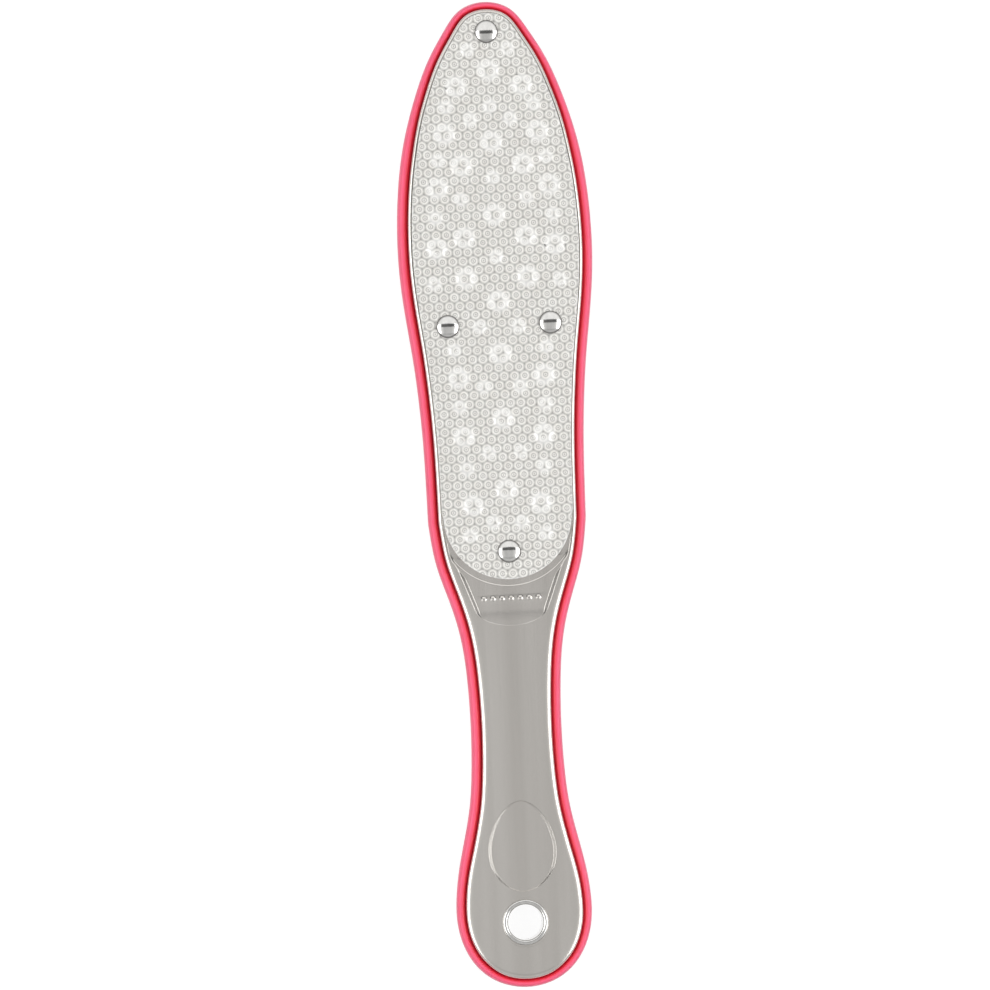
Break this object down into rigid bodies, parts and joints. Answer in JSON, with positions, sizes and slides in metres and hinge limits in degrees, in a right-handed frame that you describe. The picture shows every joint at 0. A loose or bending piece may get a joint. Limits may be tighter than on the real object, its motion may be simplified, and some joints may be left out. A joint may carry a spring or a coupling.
{
  "type": "foot file",
  "caption": "Double-sided metal foot file with an abrasive plate riveted to each face, a soft rim all round and a handle with a thumb rest and a hanging hole.",
  "frame": {"origin": "middle of the footprint, on the plane that the rivet heads of the fine side rest on", "axes": "+Y towards the tip, +Z out of the coarse side, X across"},
  "size_m": [0.0514, 0.26, 0.0096],
  "materials": {
    "abrasive_steel": "bright steel, embossed all over with small ring-shaped cutters",
    "satin_steel": "smooth satin stainless steel with bright rounded shoulders",
    "polished_steel": "mirror polished",
    "soft_rim": "smooth satin coral pink elastomer",
    "core_plastic": "moulded, hidden inside"
  },
  "bodies": {
    "root": {"coarse_plate": "abrasive_steel", "fine_plate": "abrasive_steel", "front_shell": "satin_steel", "back_shell": "satin_steel", "core": "core_plastic", "rim": "soft_rim", "hang_eyelet": "polished_steel", "rivet_post_tip": "polished_steel", "rivet_post_left": "polished_steel", "rivet_post_right": "polished_steel", "rivet_post_heel": "polished_steel", "rivet_pin_tip": "polished_steel", "rivet_pin_left": "polished_steel", "rivet_pin_right": "polished_steel", "rivet_pin_heel": "polished_steel"}
  },
  "joints": []
}
